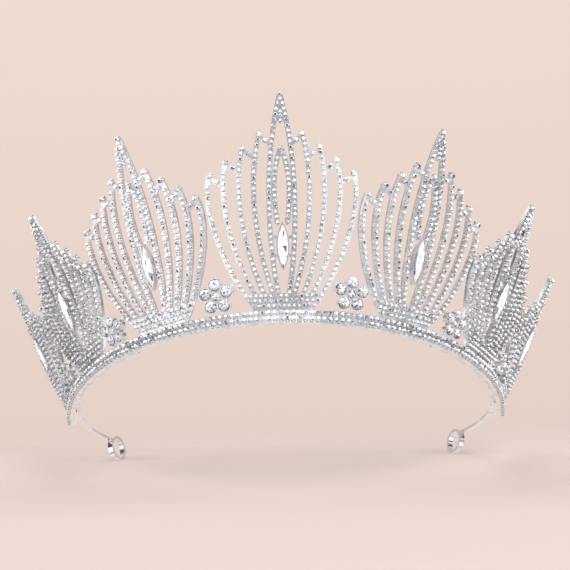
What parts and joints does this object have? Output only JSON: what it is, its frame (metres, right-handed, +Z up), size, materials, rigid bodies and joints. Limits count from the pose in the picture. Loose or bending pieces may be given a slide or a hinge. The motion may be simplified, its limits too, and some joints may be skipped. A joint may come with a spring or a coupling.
{
  "type": "bridal tiara",
  "caption": "Silver bridal tiara of flared crystal fans with navette stones, small stone flowers between them, a jewelled front band and plain side arms ending in pin eyes",
  "frame": {"origin": "centre of the band's circle, on the plane that the tiara stands on", "axes": "+Z up, -Y the front of the tiara, +X to the right seen from the front; the band's circle is in XY"},
  "size_m": [0.1894, 0.1394, 0.0697],
  "materials": {
    "polished_metal": "bright silver plating over a cast alloy frame, polished",
    "band_metal": "bright silver plating on a rolled strip, smooth inside",
    "polished_strip": "bright silver plating on flat spring strip",
    "stone_settings": "silver plated cup chain set with small clear foiled stones",
    "navette_crystal": "clear foil-backed cut crystal, very bright",
    "flower_crystal": "clear foil-backed round crystals"
  },
  "bodies": {
    "root": {"band_chain_lower": "stone_settings", "band_chain_upper": "stone_settings", "band_rail": "band_metal", "fan_centre_bezel": "polished_metal", "fan_centre_frame": "polished_metal", "fan_centre_navette": "navette_crystal", "fan_centre_pave": "stone_settings", "fan_centre_rib_chains": "stone_settings", "fan_end_left_bezel": "polished_metal", "fan_end_left_frame": "polished_metal", "fan_end_left_navette": "navette_crystal", "fan_end_left_pave": "stone_settings", "fan_end_left_rib_chains": "stone_settings", "fan_end_right_bezel": "polished_metal", "fan_end_right_frame": "polished_metal", "fan_end_right_navette": "navette_crystal", "fan_end_right_pave": "stone_settings", "fan_end_right_rib_chains": "stone_settings", "fan_inner_left_bezel": "polished_metal", "fan_inner_left_frame": "polished_metal", "fan_inner_left_navette": "navette_crystal", "fan_inner_left_pave": "stone_settings", "fan_inner_left_rib_chains": "stone_settings", "fan_inner_right_bezel": "polished_metal", "fan_inner_right_frame": "polished_metal", "fan_inner_right_navette": "navette_crystal", "fan_inner_right_pave": "stone_settings", "fan_inner_right_rib_chains": "stone_settings", "fan_middle_left_bezel": "polished_metal", "fan_middle_left_frame": "polished_metal", "fan_middle_left_navette": "navette_crystal", "fan_middle_left_pave": "stone_settings", "fan_middle_left_rib_chains": "stone_settings", "fan_middle_right_bezel": "polished_metal", "fan_middle_right_frame": "polished_metal", "fan_middle_right_navette": "navette_crystal", "fan_middle_right_pave": "stone_settings", "fan_middle_right_rib_chains": "stone_settings", "flower_end_left_setting": "polished_metal", "flower_end_left_stones": "flower_crystal", "flower_end_right_setting": "polished_metal", "flower_end_right_stones": "flower_crystal", "flower_inner_left_setting": "polished_metal", "flower_inner_left_stones": "flower_crystal", "flower_inner_right_setting": "polished_metal", "flower_inner_right_stones": "flower_crystal", "flower_middle_left_setting": "polished_metal", "flower_middle_left_stones": "flower_crystal", "flower_middle_right_setting": "polished_metal", "flower_middle_right_stones": "flower_crystal", "side_arm_left": "polished_strip", "side_arm_right": "polished_strip"}
  },
  "joints": []
}
